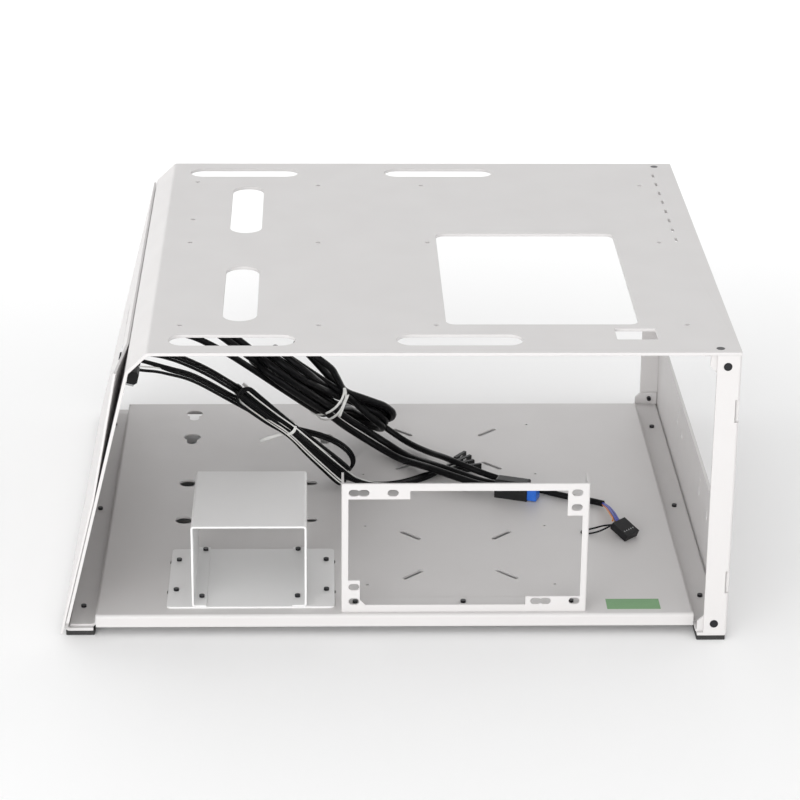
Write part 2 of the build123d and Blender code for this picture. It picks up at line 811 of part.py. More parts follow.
# Screws, one node for each place where they are used
with BuildPart() as top_screws:
    with Locations(*frame_screws_top):
        countersunk_screw()
save(top_screws.part, "top_screws")

with BuildPart() as front_post_screws:
    with Locations(*front_screw_planes):
        countersunk_screw()
save(front_post_screws.part, "front_post_screws")

with BuildPart() as back_post_screws:
    with Locations(*back_screw_planes):
        countersunk_screw()
save(back_post_screws.part, "back_post_screws")

with BuildPart() as base_screws:
    with Locations(*strip_screws):
        pan_screw(base_sheet + sheet)
save(base_screws.part, "base_screws")

with BuildPart() as supply_screws:
    with Locations(*[(x, y, tray_rise + base_sheet) for x, y in supply_screw_places]):
        pan_screw(pan_screw_length)
save(supply_screws.part, "supply_frame_screws")

with BuildPart() as cage_plate_screws:
    with Locations(*[(x, y, plate_top) for x, y in plate_screw_places]):
        pan_screw(pan_screw_length)
save(cage_plate_screws.part, "cage_plate_screws")

with BuildPart() as cage_screws:
    with Locations(*[(x, y, plate_top + thin_sheet) for x, y in cage_screw_places]):
        pan_screw(2 * thin_sheet)
save(cage_screws.part, "drive_cage_screws")

with BuildPart() as bracket_screws:
    with Locations(*bracket_screw_planes):
        pan_screw(bracket_screw_length)
save(bracket_screws.part, "port_bracket_screws")

# Port bracket: shelf under the ports, and a leaf screwed to the leg
shelf_end = leg_point(0, -port_height / 2, -sheet - port_shelf)
shelf_corner = leg_point(0, -port_height / 2, -sheet)
leaf_end = leg_point(0, -port_height / 2 - port_leaf, -sheet)
with BuildPart() as port_bracket:
    with BuildSketch(Plane.XZ.offset(-bracket_back)):
        with BuildLine():
            angle_line = Polyline(
                (shelf_end.X, shelf_end.Z),
                (shelf_corner.X, shelf_corner.Z),
                (leaf_end.X, leaf_end.Z),
            )
            offset(angle_line, amount=thin_sheet, side=Side.LEFT)
        make_face()
    extrude(amount=bracket_back - bracket_front)
    with BuildSketch(on_leg(power_y, 0, -sheet)):
        Circle(power_radius + button_rim + fit_gap)
    extrude(amount=switch_face + sheet, mode=Mode.SUBTRACT)
    with Locations(*bracket_screw_planes):
        Cylinder(pan_hole_radius, bracket_screw_length, align=top_down, mode=Mode.SUBTRACT)
save(port_bracket.part, "port_bracket")

# USB ports: one moulded block with two open mouths
with BuildPart() as usb_ports:
    with BuildSketch(on_leg(usb_y, 0, port_face)):
        Rectangle(usb_length, port_height)
    extrude(amount=-port_depth)
    inner_edges = usb_ports.faces().sort_by(Axis.X)[-1].edges().filter_by(Axis.Y)
    chamfer(inner_edges, port_chamfer)
    for y in usb_ys:
        with BuildSketch(on_leg(y, 0, port_face)):
            Rectangle(usb_mouth_width, usb_mouth_height)
        extrude(amount=cover_face - port_face - fit_gap)
    for y in usb_ys:
        with BuildSketch(on_leg(y, 0, cover_face - fit_gap)):
            Rectangle(usb_mouth_width - 2 * usb_wall, usb_mouth_height - 2 * usb_wall)
            with Locations((0, usb_mouth_height / 6)):
                Rectangle(usb_mouth_width - 4 * usb_wall, usb_tongue, mode=Mode.SUBTRACT)
        extrude(amount=-usb_mouth_depth, mode=Mode.SUBTRACT)
save(usb_ports.part, "usb_ports")

# Audio jacks: one moulded block with two round barrels
with BuildPart() as audio_jacks:
    with BuildSketch(on_leg(audio_y, 0, port_face)):
        Rectangle(audio_length, port_height)
    extrude(amount=-port_depth)
    inner_edges = audio_jacks.faces().sort_by(Axis.X)[-1].edges().filter_by(Axis.Y)
    chamfer(inner_edges, port_chamfer)
    for y in audio_ys:
        with BuildSketch(on_leg(y, 0, port_face)):
            Circle(audio_barrel)
        extrude(amount=cover_face - port_face - fit_gap)
        with BuildSketch(on_leg(y, 0, cover_face - fit_gap)):
            Circle(audio_bore)
        extrude(amount=-usb_mouth_depth, mode=Mode.SUBTRACT)
save(audio_jacks.part, "audio_jacks")

# Push buttons, each with a rim behind the leg and a plunger in its switch
for name, (y, radius) in buttons.items():
    with BuildPart() as button:
        with BuildSketch(on_leg(y, 0, -sheet - fit_gap)):
            Circle(radius)
        extrude(amount=cover_face + button_proud + sheet + fit_gap)
        fillet(button.faces().sort_by(Axis((0, 0, 0), tuple(outward)))[-1].edges(), button_round)
        with BuildSketch(on_leg(y, 0, button_inner)):
            Circle(radius + button_rim)
        extrude(amount=button_rim_height)
        with BuildSketch(on_leg(y, 0, button_inner)):
            Circle(plunger_radius)
        extrude(amount=-plunger_length)
    save(button.part, f"{name}_button")
    with BuildPart() as switch:
        with BuildSketch(on_leg(y, 0, switch_face)):
            Rectangle(switch_length, port_height)
            Circle(plunger_radius + fit_gap, mode=Mode.SUBTRACT)
        extrude(amount=-plunger_length - fit_gap)
        with BuildSketch(on_leg(y, 0, switch_face - plunger_length - fit_gap)):
            Rectangle(switch_length, port_height)
        extrude(amount=-switch_back)
        inner_edges = switch.faces().sort_by(Axis.X)[-1].edges().filter_by(Axis.Y)
        chamfer(inner_edges, port_chamfer)
    save(switch.part, f"{name}_switch")

# Status lights
with BuildPart() as status_lights:
    for y in led_ys:
        with BuildSketch(on_leg(y, 0, -sheet)):
            Circle(led_radius)
        extrude(amount=cover_face + sheet + led_proud)
        with BuildSketch(on_leg(y, 0, -sheet)):
            Circle(led_rim)
        extrude(amount=-led_rim_height)
save(status_lights.part, "status_lights")

# Plain label on the floor
with BuildPart() as floor_label:
    with Locations((label_x, front + label_front_edge, tray_rise)):
        Box(label_length, label_width, label_thick, align=bottom_up)
save(floor_label.part, "floor_label")

# Cords: each tube follows straight runs joined by tangent arcs as large as the runs allow
port_back = port_face - port_depth
switch_rear = switch_face - plunger_length - fit_gap - switch_back
switch_middle = (switch_face + switch_rear) / 2
light_back = -sheet - led_rim_height
light_y = sum(led_ys) / len(led_ys)
plug_along = Vector(1, 0, 0).rotate(Axis.Z, usb_plug_turn)
plug_plane = Plane(origin=(*usb_plug_place, tray_rise), x_dir=plug_along)


def plug_entry(side, before):
    """Point on one of the header plug's two cables, a distance before it enters the plug."""
    local = (-usb_plug_size[0] / 2 - before, side * usb_cord_shift, usb_plug_size[2] / 2)
    return plug_plane.from_local_coords(Vector(*local))


cord_routes = {
    "usb_cable_a": (usb_cord, [
        leg_point(usb_ys[0], 0, port_back),
        leg_point(usb_ys[0], 0, port_back - cord_lead_out),
        (-132.0, 13.5, 128.5), (-113.0, 21.5, 121.8), (-92.4, 27.5, 112.3),
        (-76.0, 33.0, 100.3), (-61.0, 42.0, 86.5),
    ]),
    "usb_cable_b": (usb_cord, [
        leg_point(usb_ys[1], 0, port_back),
        leg_point(usb_ys[1], 0, port_back - cord_lead_out),
        (-132.5, 26.5, 129.5), (-112.0, 29.5, 123.2), (-90.5, 33.0, 114.0),
        (-73.5, 38.5, 101.8), (-58.5, 47.0, 88.0),
    ]),
    "audio_cable": (audio_cord, [
        leg_point(audio_y, 0, port_back),
        leg_point(audio_y, 0, port_back - cord_lead_out),
        (-139.0, -10.0, 130.0), (-126.0, 2.0, 124.5), (-111.5, 10.5, 117.3), (-93.0, 19.5, 103.8),
        (-74.0, 31.0, 87.0), (-59.5, 43.5, 75.0), (-48.5, 55.0, 67.5),
    ]),
    "usb_tail_a": (usb_cord, [
        (-17.0, 84.0, 29.0), (-9.5, 78.5, 21.0), (0.3, 70.0, 17.2), (10.6, 58.0, 17.0), (21.3, 42.8, 20.0),
        (30.6, 30.5, 22.2), (39.9, 21.3, 22.4), (50.0, 14.5, 21.4), (58.5, 9.0, 20.6),
        plug_entry(-1, usb_plug_lead_in), plug_entry(-1, 0),
    ]),
    "usb_tail_b": (usb_cord, [
        (-8.0, 92.0, 26.0), (-2.0, 85.0, 20.6), (6.0, 76.0, 17.4), (15.0, 63.8, 17.2), (24.3, 48.5, 20.0),
        (33.5, 35.2, 22.4), (42.9, 26.8, 22.6), (53.1, 20.5, 21.3), (61.0, 15.0, 20.5),
        plug_entry(1, usb_plug_lead_in), plug_entry(1, 0),
    ]),
    "audio_tail": (audio_cord, [
        (-5.0, 108.0, 23.5), (4.0, 103.0, 18.8), (13.1, 94.5, 16.5), (22.7, 82.0, 16.2), (32.1, 67.5, 17.8),
        (41.1, 51.0, 21.6), (49.0, 40.0, 22.4), (57.1, 34.3, 21.0), (67.0, 30.6, 18.2), (79.0, 24.2, 16.4),
        (92.2, 15.0, 16.2), (105.3, 5.5, 16.3), (118.4, -3.1, 16.2),
        (131.5, -9.9, 16.2), (140.2, -13.6, 16.2), (146.3, -19.2, 16.8),
    ]),
    "audio_wires": (wire_bundle, [
        (146.3, -19.2, 16.8), (149.2, -31.0, 18.6), (150.6, -46.0, 21.0), (151.9, -61.1, 21.7),
    ]),
    "audio_jumper": (jumper_wire, [
        (148.4, -64.6, 21.7), (143.5, -59.3, 19.0), (137.5, -56.8, 15.8), (131.5, -57.0, 14.6),
        (127.6, -60.2, 14.4),
        (131.2, -63.4, 14.5), (137.4, -63.6, 15.6), (143.0, -64.0, 18.2), (147.0, -66.1, 21.7),
    ]),
    "switch_leads": (lead_ribbon, [
        leg_point(power_y + switch_length / 2, 0, switch_middle),
        leg_point(power_y + switch_length / 2 + lead_lead_out, 0, switch_middle), (-158.6, -66.0, 134.6),
        (-151.0, -59.0, 131.3), (-142.9, -51.5, 126.3), (-130.8, -42.0, 119.3), (-118.6, -32.0, 110.5),
        (-106.8, -20.5, 100.5), (-95.5, -10.6, 92.5),
    ]),
    "reset_lead": (lead_pair, [
        leg_point(reset_y, 0, switch_rear), leg_point(reset_y, 0, switch_rear - lead_lead_out),
        (-149.5, -55.8, 132.8),
        (-143.0, -51.5, 128.0),
    ]),
    "light_leads": (lead_ribbon, [
        leg_point(light_y, 0, light_back), leg_point(light_y, 0, light_back - cord_lead_out),
        (-146.1, -38.5, 130.0),
        (-134.4, -32.0, 122.5), (-123.0, -25.5, 114.1), (-110.8, -17.0, 104.4), (-101.5, -11.0, 96.6),
        (-94.0, -6.5, 90.2),
    ]),
    "lead_loop": (loop_lead, [
        (-62.5, 6.5, 61.5), (-54.0, 9.7, 58.0), (-45.0, 12.0, 54.5), (-35.0, 14.8, 49.0), (-26.8, 17.0, 42.0),
        (-22.3, 19.0, 33.9), (-23.6, 20.0, 26.5), (-28.5, 20.0, 22.5),
    ]),
    "lead_tail": (lead_ribbon, [
        (-30.5, 18.6, 24.5), (-22.0, 19.6, 18.2), (-11.5, 16.2, 16.2), (0.0, 15.5, 16.0), (11.5, 19.0, 16.1),
        (21.5, 26.2, 16.0), (31.5, 34.5, 16.1), (41.0, 44.0, 16.0), (48.3, 52.0, 16.1),
    ]),
}
for name, (width, route) in cord_routes.items():
    points = [Vector(point) for point in route]
    radii = []
    for before, here, after in zip(points, points[1:], points[2:]):
        turn = math.radians((here - before).get_angle(after - here))
        shorter = min((here - before).length, (after - here).length)
        radii.append(arc_share * shorter / math.tan(turn / 2))
    with BuildPart() as cord:
        with BuildLine() as path:
            FilletPolyline(*points, radius=radii)
        with BuildSketch(Plane(origin=points[0], z_dir=points[1] - points[0])):
            Circle(width / 2)
        sweep()
    section_volume = math.pi * width**2 / 4 * path.wires()[0].length
    print(name, [round(radius / width, 1) for radius in radii], round(cord.part.volume / section_volume, 3))
    save(cord.part, name)

# Hanks: one solid of the outer shape of each, turned about its own axis, with a tie at its waist
hanks = {
    "cord": (cord_hank_top, cord_hank_foot, cord_hank_outline, cord_tie_place),
    "lead": (lead_hank_top, lead_hank_foot, lead_hank_outline, lead_tie_place),
}
for name, (top, foot, outline, tie_place) in hanks.items():
    along = Vector(foot) - Vector(top)
    hank_plane = Plane(origin=top, x_dir=along, z_dir=along.cross(Vector(0, 0, 1)))
    hank_axis = Axis(top, along)
    with BuildPart() as hank:
        with BuildSketch(hank_plane):
            with BuildLine():
                Polyline((outline[0][0], 0), *outline, (outline[-1][0], 0), close=True)
            make_face()
        revolve(axis=hank_axis)
    save(hank.part, f"{name}_hank")
    tie_radius = dict(outline)[tie_place]
    with BuildPart() as tie:
        with BuildSketch(hank_plane):
            with Locations((tie_place, tie_radius + fit_gap)):
                Rectangle(tie_width, tie_thick, align=(Align.CENTER, Align.MIN))
        revolve(axis=hank_axis)
    save(tie.part, f"{name}_hank_tie")

# Header plug of the USB cables, with its coloured insert
with BuildPart() as usb_plug:
    with Locations(plug_plane):
        Box(*usb_plug_size, align=bottom_up)
    top_edges = usb_plug.faces().sort_by(Axis.Z)[-1].edges()
    fillet(top_edges, usb_plug_round)
save(usb_plug.part, "usb_plug")

with BuildPart() as usb_plug_insert:
    with Locations(plug_plane):
        with Locations((usb_plug_size[0] / 2, 0, usb_insert_rise)):
            Box(*usb_insert_size, align=(Align.MIN, Align.CENTER, Align.MIN))
save(usb_plug_insert.part, "usb_plug_insert")

# Pin plug of the audio cable, tipped forward on its open end
tilt = math.radians(pin_plug_tilt)
pin_across = Vector(1, 0, 0).rotate(Axis.Z, pin_plug_turn)
pin_up = Vector(math.sin(tilt), 0, math.cos(tilt)).rotate(Axis.Z, pin_plug_turn - 90)
pin_plane = Plane(origin=pin_plug_edge, x_dir=pin_across, z_dir=pin_up)
with BuildPart() as audio_plug:
    with BuildSketch(pin_plane):
        Rectangle(pin_plug_width, pin_plug_length, align=(Align.CENTER, Align.MIN))
    extrude(amount=pin_plug_thick)
    with BuildSketch(pin_plane.offset(pin_plug_thick)):
        with Locations((0, pin_window_edge)):
            with GridLocations(pin_window_pitch, 0, pin_window_count, 1):
                Rectangle(pin_window, pin_window)
    extrude(amount=-pin_window_depth, mode=Mode.SUBTRACT)
save(audio_plug.part, "audio_plug")

# Small plugs of the switch and light leads, fanned out on the floor
with BuildPart() as lead_plugs:
    for x, y, turn in lead_plug_ends:
        with Locations(Location((x, y, tray_rise), (0, 0, turn))):
            Box(*lead_plug_size, align=(Align.MAX, Align.CENTER, Align.MIN))
save(lead_plugs.part, "lead_plugs")
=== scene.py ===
import json
import math

import bmesh
import bpy
from mathutils import Matrix, Vector


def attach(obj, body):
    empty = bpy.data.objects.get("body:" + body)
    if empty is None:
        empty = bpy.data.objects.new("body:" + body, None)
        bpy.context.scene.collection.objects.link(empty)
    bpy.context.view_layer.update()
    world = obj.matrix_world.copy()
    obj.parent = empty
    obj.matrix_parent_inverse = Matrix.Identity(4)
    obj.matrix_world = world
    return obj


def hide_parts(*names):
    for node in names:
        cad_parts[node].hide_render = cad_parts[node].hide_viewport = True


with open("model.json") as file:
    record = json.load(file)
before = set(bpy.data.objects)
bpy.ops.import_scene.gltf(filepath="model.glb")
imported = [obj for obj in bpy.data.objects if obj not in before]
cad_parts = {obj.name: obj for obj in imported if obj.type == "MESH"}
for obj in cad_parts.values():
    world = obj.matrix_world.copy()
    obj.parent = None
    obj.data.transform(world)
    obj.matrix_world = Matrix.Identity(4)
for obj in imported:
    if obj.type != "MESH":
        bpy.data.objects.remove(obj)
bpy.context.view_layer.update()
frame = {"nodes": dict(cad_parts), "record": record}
nodes = frame["nodes"]
MM = 0.001

# Camera, at the photograph's view: angles in degrees, lengths in metres, lens and sensor in mm
camera_yaw, camera_pitch, camera_roll = 1.7763525, 21.9214771, -0.5706044
camera_place = (-0.047218, -1.792710, 0.806993)
camera_lens, camera_sensor = 128.906, 36
camera_near, camera_far = 0.05, 50


def look(yaw, pitch, roll):
    """Image right, image down and forward of a camera turned by three angles in degrees."""
    yaw, pitch, roll = (math.radians(angle) for angle in (yaw, pitch, roll))
    forward = Vector((math.sin(yaw) * math.cos(pitch), math.cos(yaw) * math.cos(pitch), -math.sin(pitch)))
    level = Vector((math.cos(yaw), -math.sin(yaw), 0))
    down = forward.cross(level)
    right = level * math.cos(roll) + down * math.sin(roll)
    down = down * math.cos(roll) - level * math.sin(roll)
    return right, down, forward


right, down, forward = look(camera_yaw, camera_pitch, camera_roll)
camera_data = bpy.data.cameras.new("camera")
camera_data.lens = camera_lens
camera_data.sensor_width = camera_sensor
camera_data.clip_start = camera_near
camera_data.clip_end = camera_far
camera = bpy.data.objects.new("camera", camera_data)
camera_turn = Matrix((right, -down, -forward)).transposed()
camera.matrix_world = Matrix.Translation(camera_place) @ camera_turn.to_4x4()
bpy.context.collection.objects.link(camera)
bpy.context.scene.camera = camera


# Materials
def noise(tree, scale, detail=3.0, rough=0.5, stretch=None):
    """Noise over the object's own place, in metres."""
    place = tree.nodes.new("ShaderNodeTexCoord")
    texture = tree.nodes.new("ShaderNodeTexNoise")
    texture.inputs["Scale"].default_value = scale
    texture.inputs["Detail"].default_value = detail
    texture.inputs["Roughness"].default_value = rough
    if stretch:
        mapping = tree.nodes.new("ShaderNodeMapping")
        mapping.inputs["Scale"].default_value = stretch
        tree.links.new(place.outputs["Object"], mapping.inputs["Vector"])
        tree.links.new(mapping.outputs["Vector"], texture.inputs["Vector"])
    else:
        tree.links.new(place.outputs["Object"], texture.inputs["Vector"])
    return texture.outputs["Fac"]


def spread(tree, fac, low, high, start=0.3, end=0.7):
    """Noise taken to a range of numbers."""
    node = tree.nodes.new("ShaderNodeMapRange")
    node.inputs["From Min"].default_value = start
    node.inputs["From Max"].default_value = end
    node.inputs["To Min"].default_value = low
    node.inputs["To Max"].default_value = high
    tree.links.new(fac, node.inputs["Value"])
    return node.outputs["Result"]


def blend(tree, fac, dark, light):
    """Noise taken between two colours."""
    node = tree.nodes.new("ShaderNodeMix")
    node.data_type = "RGBA"
    node.inputs["A"].default_value = (*dark, 1)
    node.inputs["B"].default_value = (*light, 1)
    tree.links.new(fac, node.inputs["Factor"])
    return node.outputs["Result"]


def bump(tree, height, depth, edge):
    """Bump of a depth in metres, over edges that are softened where an edge radius is given."""
    node = tree.nodes.new("ShaderNodeBump")
    node.inputs["Strength"].default_value = 1.0
    node.inputs["Distance"].default_value = depth
    tree.links.new(height, node.inputs["Height"])
    if edge:
        soft = tree.nodes.new("ShaderNodeBevel")
        soft.samples = 4
        soft.inputs["Radius"].default_value = edge
        tree.links.new(soft.outputs["Normal"], node.inputs["Normal"])
    return node.outputs["Normal"]


gloss_rate = 9


def surface(name, dark, light, rough, patch, grain, depth, edge=None, metallic=0.0, coat=0.0, specular=0.5,
            stretch=None):
    """Procedural material: a slow change of colour, a faster change of gloss and a fine grain."""
    made = bpy.data.materials.new(name)
    made.use_nodes = True
    tree = made.node_tree
    shader = tree.nodes["Principled BSDF"]
    slow = noise(tree, patch, detail=4.0, rough=0.6, stretch=stretch)
    fine = noise(tree, grain, detail=2.0, stretch=stretch)
    gloss = noise(tree, patch * gloss_rate)
    tree.links.new(blend(tree, slow, dark, light), shader.inputs["Base Color"])
    tree.links.new(spread(tree, gloss, *rough), shader.inputs["Roughness"])
    tree.links.new(bump(tree, fine, depth, edge), shader.inputs["Normal"])
    shader.inputs["Metallic"].default_value = metallic
    shader.inputs["Specular IOR Level"].default_value = specular
    shader.inputs["Coat Weight"].default_value = coat
    return made


def coloured_wire(dark, light):
    """Finish of a thin wire in one colour."""
    return dict(dark=dark, light=light, rough=(0.4, 0.5), patch=150.0, grain=1500.0, depth=0.00001)


finishes = {
    "white_coat": dict(
        dark=(0.6, 0.585, 0.58), light=(0.63, 0.615, 0.61), rough=(0.42, 0.5),
        patch=5.0, grain=1400.0, depth=0.000025, edge=0.0005,
    ),
    # white_cage is the same white paint as white_coat, made lighter to stand in for the light that falls
    # inside the drive cage: painted light
    "white_cage": dict(
        dark=(0.76, 0.758, 0.755), light=(0.79, 0.788, 0.785), rough=(0.38, 0.46),
        patch=7.0, grain=1400.0, depth=0.000025, edge=0.0004,
    ),
    "grey_bracket": dict(
        dark=(0.42, 0.425, 0.43), light=(0.52, 0.525, 0.53), rough=(0.3, 0.42),
        patch=40.0, grain=700.0, depth=0.00001, edge=0.0003, metallic=1.0, stretch=(1, 0.06, 1),
    ),
    "black_screw": dict(
        dark=(0.012, 0.012, 0.014), light=(0.03, 0.03, 0.033), rough=(0.28, 0.42),
        patch=300.0, grain=2500.0, depth=0.00001, edge=0.0002, metallic=0.6,
    ),
    "black_rubber": dict(
        dark=(0.012, 0.012, 0.012), light=(0.03, 0.029, 0.028), rough=(0.6, 0.8),
        patch=90.0, grain=1800.0, depth=0.00005, edge=0.0006,
    ),
    "button_cap": dict(
        dark=(0.02, 0.02, 0.022), light=(0.035, 0.035, 0.038), rough=(0.12, 0.2),
        patch=60.0, grain=1500.0, depth=0.000004, edge=0.0004, coat=0.4,
    ),
    "light_lens": dict(
        dark=(0.62, 0.65, 0.68), light=(0.74, 0.77, 0.8), rough=(0.1, 0.18),
        patch=400.0, grain=900.0, depth=0.000005, coat=0.5,
    ),
    "green_label": dict(
        dark=(0.14, 0.30, 0.13), light=(0.17, 0.36, 0.16), rough=(0.35, 0.5),
        patch=120.0, grain=900.0, depth=0.00001,
    ),
    "white_tie": dict(
        dark=(0.74, 0.74, 0.72), light=(0.86, 0.86, 0.84), rough=(0.4, 0.55),
        patch=200.0, grain=1500.0, depth=0.00003,
    ),
    "blue_plastic": dict(
        dark=(0.012, 0.10, 0.50), light=(0.02, 0.16, 0.66), rough=(0.25, 0.35),
        patch=120.0, grain=1500.0, depth=0.00001, edge=0.0003,
    ),
    "black_plastic": dict(
        dark=(0.006, 0.006, 0.0065), light=(0.013, 0.013, 0.014), rough=(0.35, 0.5),
        patch=120.0, grain=1800.0, depth=0.00002, edge=0.0003, specular=0.25,
    ),
    "cord_coat": dict(
        dark=(0.004, 0.004, 0.0045), light=(0.009, 0.009, 0.0095), rough=(0.26, 0.36),
        patch=60.0, grain=900.0, depth=0.00004, specular=0.1,
    ),
    "wire_black": dict(
        dark=(0.004, 0.004, 0.0045), light=(0.009, 0.009, 0.0095), rough=(0.28, 0.4),
        patch=150.0, grain=1500.0, depth=0.00001, specular=0.1,
    ),
    "wire_white": coloured_wire(dark=(0.68, 0.68, 0.66), light=(0.8, 0.8, 0.78)),
    "wire_blue": coloured_wire(dark=(0.05, 0.06, 0.34), light=(0.08, 0.1, 0.46)),
    "wire_orange": coloured_wire(dark=(0.5, 0.16, 0.03), light=(0.66, 0.24, 0.05)),
    "wire_brown": coloured_wire(dark=(0.10, 0.045, 0.02), light=(0.16, 0.07, 0.03)),
    "contact_metal": dict(
        dark=(0.55, 0.55, 0.56), light=(0.7, 0.7, 0.7), rough=(0.2, 0.32),
        patch=400.0, grain=2000.0, depth=0.000005, metallic=1.0,
    ),
    "floor_coat": dict(
        dark=(0.95, 0.95, 0.95), light=(0.965, 0.965, 0.965), rough=(0.7, 0.8),
        patch=3.0, grain=300.0, depth=0.00001,
    ),
}
coats = {name: surface(name, **finish) for name, finish in finishes.items()}
coats["wire_coat"] = coats["wire_blue"]
for row in frame["record"]["subparts"]:
    data = nodes[row["node"]].data
    if not data.materials:
        data.materials.append(None)
    for index in range(len(data.materials)):
        data.materials[index] = coats[row["material_slot"]]


# Pieces of the scene, which all ride on the bench
def bench_piece(name, data):
    """Object with this mesh or curve, which rides on the bench."""
    piece = bpy.data.objects.new(name, data)
    bpy.context.collection.objects.link(piece)
    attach(piece, "bench")
    return piece


def add_box(shell, low, high):
    """Corners of a box between two places, added to a mesh."""
    low, high = Vector(low), Vector(high)
    corners = bmesh.ops.create_cube(shell, size=1.0)["verts"]
    for corner in corners:
        corner.co = (low + high) / 2 + corner.co * (high - low)
    return corners


def soften(shell, offset):
    """Bevel on every edge of a mesh."""
    bmesh.ops.bevel(shell, geom=shell.edges[:], offset=offset, segments=2, affect="EDGES", profile=0.6)


def mesh_of(shell, name, *surfaces):
    """Mesh of a finished shell, with its materials in order."""
    data = bpy.data.meshes.new(name)
    shell.to_mesh(data)
    shell.free()
    for made in surfaces:
        data.materials.append(made)
    return data


def cord(name, points, thick, coat, stands_for=(), slot="cord_coat", **facts):
    """Round cord on one smooth line, with these control points in mm; its facts are not used."""
    curve = bpy.data.curves.new(name, "CURVE")
    curve.dimensions = "3D"
    spline = curve.splines.new("NURBS")
    spline.points.add(len(points) - 1)
    for control, point in zip(spline.points, points):
        control.co = (*(Vector(point) * MM), 1)
    spline.order_u = 3
    spline.use_endpoint_u = True
    spline.resolution_u = 6
    curve.resolution_u = 6
    curve.bevel_depth = thick * MM / 2
    curve.bevel_resolution = 3
    curve.use_fill_caps = True
    curve.materials.append(coats[coat])
    piece = bench_piece(name, curve)
    if stands_for:
        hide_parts(*stands_for)
    return piece


class Hank:
    """Frame of a folded hank: along its axis, across it in the picture, and away from the camera."""

    fold_steps = 4
    run_share = 0.4

    def __init__(self, top, foot, waist, drawn_in):
        """The tie is at the waist, and draws a strand in by a share where it runs out to an end."""
        self.top = Vector(top)
        self.along = (Vector(foot) - self.top).normalized()
        self.across = self.along.cross(forward).normalized()
        self.deep = self.across.cross(self.along)
        self.waist = waist
        self.drawn_in = drawn_in

    def at(self, far, across, deep):
        return self.top + self.along * far + self.across * across + self.deep * deep

    def fold(self, far, start, end, way):
        """Six points of the half turn from one strand to the next, past one end of the hank."""
        middle, half = (start + end) / 2, (start - end) / 2
        half_step = math.pi / self.fold_steps / 2
        lead_in = -way * half.length * math.tan(half_step)
        points = [self.at(far + lead_in, *start)]
        for step in range(self.fold_steps):
            angle = half_step * (2 * step + 1)
            place = middle + half * math.cos(angle) / math.cos(half_step)
            reach = way * half.length * math.sin(angle) / math.cos(half_step)
            points.append(self.at(far + reach, *place))
        points.append(self.at(far + lead_in, *end))
        return points

    def run(self, end, place, tied):
        """Point of a strand between the tie and one end of the hank."""
        far = end * self.run_share + self.waist * (1 - self.run_share)
        return self.at(far, *place.lerp(tied, self.drawn_in))

    def strands(self, lanes, ends):
        """Points of a cord that runs down and up in turn, folding at each end, and leaves at the foot."""
        lanes = [[Vector(place) for place in lane] for lane in lanes]
        points = []
        for number, (high, tied, low) in enumerate(lanes):
            upper, lower = ends[number]
            strand = [self.run(upper, high, tied), self.at(self.waist, *tied), self.run(lower, low, tied)]
            going_down = number % 2 == 0
            if not going_down:
                strand.reverse()
            if points:
                points.append(points[-1].lerp(strand[0], 0.5))
            points += strand
            if number + 1 < len(lanes):
                next_high, _, next_low = lanes[number + 1]
                if going_down:
                    turn = self.fold(lower, low, next_low, 1)
                else:
                    turn = self.fold(upper, high, next_high, -1)
                points += [strand[-1].lerp(turn[0], 0.5), *turn]
        return points


# Thick cables, all places in mm: out of the sockets' backs, through their hank and on to the two plugs
cord_hank = Hank((-75.6, 36.0, 106.2), (0.4, 106.0, 17.0), waist=74, drawn_in=0.5)
usb_thick, audio_thick = 5.0, 4.5
socket_x, socket_z, socket_depth = -163.7, 136.8, 13
leg_in = Vector((0.9711, 0.0, -0.2385))


def port(y, depth=0.0):
    """Point on the line out of a socket's back, a distance from it."""
    return Vector((socket_x, y, socket_z)) + leg_in * depth


usb_a = [
    port(8), port(8, socket_depth), (-134.0, 12.5, 132.0), (-117.7, 20.0, 128.0), (-107.5, 24.5, 118.5),
    (-95.8, 27.0, 107.8), (-80.0, 32.0, 94.2),
    *cord_hank.strands(
        [
            ((-11, -4), (-9.6, -2.6), (-1, 12.5)),
            ((14.2, -11), (6.3, -2.6), (16, -12)),
            ((12.6, 19), (6.3, 2.6), (3.5, -14.5)),
            ((-14.5, 15), (-9.6, 2.6), (-5, 14.5)),
            ((-14.5, -15), (-12.3, -7.0), (-13, -13)),
        ],
        [(40, 113), (36, 113), (36, 110), (8, 110), (8, 106)],
    ),
    (-16.3, 75.2, 27.0), (-2.5, 71.5, 19.4), (10.6, 58.0, 17.0), (21.3, 42.8, 20.0), (30.6, 30.5, 22.2),
    (39.9, 21.3, 22.4), (50.0, 14.5, 21.4), (58.5, 9.0, 20.6), (65.9, 4.6, 20.2), (74.3, 1.5, 20.2),
]
usb_b = [
    port(24), port(24, socket_depth), (-132.5, 26.5, 130.5), (-113.0, 29.5, 126.3), (-101.0, 31.5, 117.0),
    (-87.8, 34.0, 104.8), (-70.0, 38.0, 91.5),
    *cord_hank.strands(
        [
            ((-6, -3), (-4.3, -2.6), (-1, 18)),
            ((-3.6, -15), (1.0, -2.6), (16, -6.5)),
            ((-3.6, 15), (1.0, 2.6), (8.5, -10)),
            ((-9.2, 15), (-4.3, 2.6), (-5, 18)),
            ((-9.2, -15), (-7.2, -7.8), (-7, -13.5)),
        ],
        [(40, 116), (12, 116), (12, 113), (6, 113), (6, 112)],
    ),
    (-9.6, 80.2, 27.6), (5.1, 76.2, 19.2), (15.0, 63.8, 17.2), (24.3, 48.5, 20.0), (33.5, 35.2, 22.4),
    (42.9, 26.8, 22.6), (53.1, 20.5, 21.3), (61.0, 15.0, 20.5), (67.7, 10.2, 20.2), (76.1, 6.4, 20.2),
]
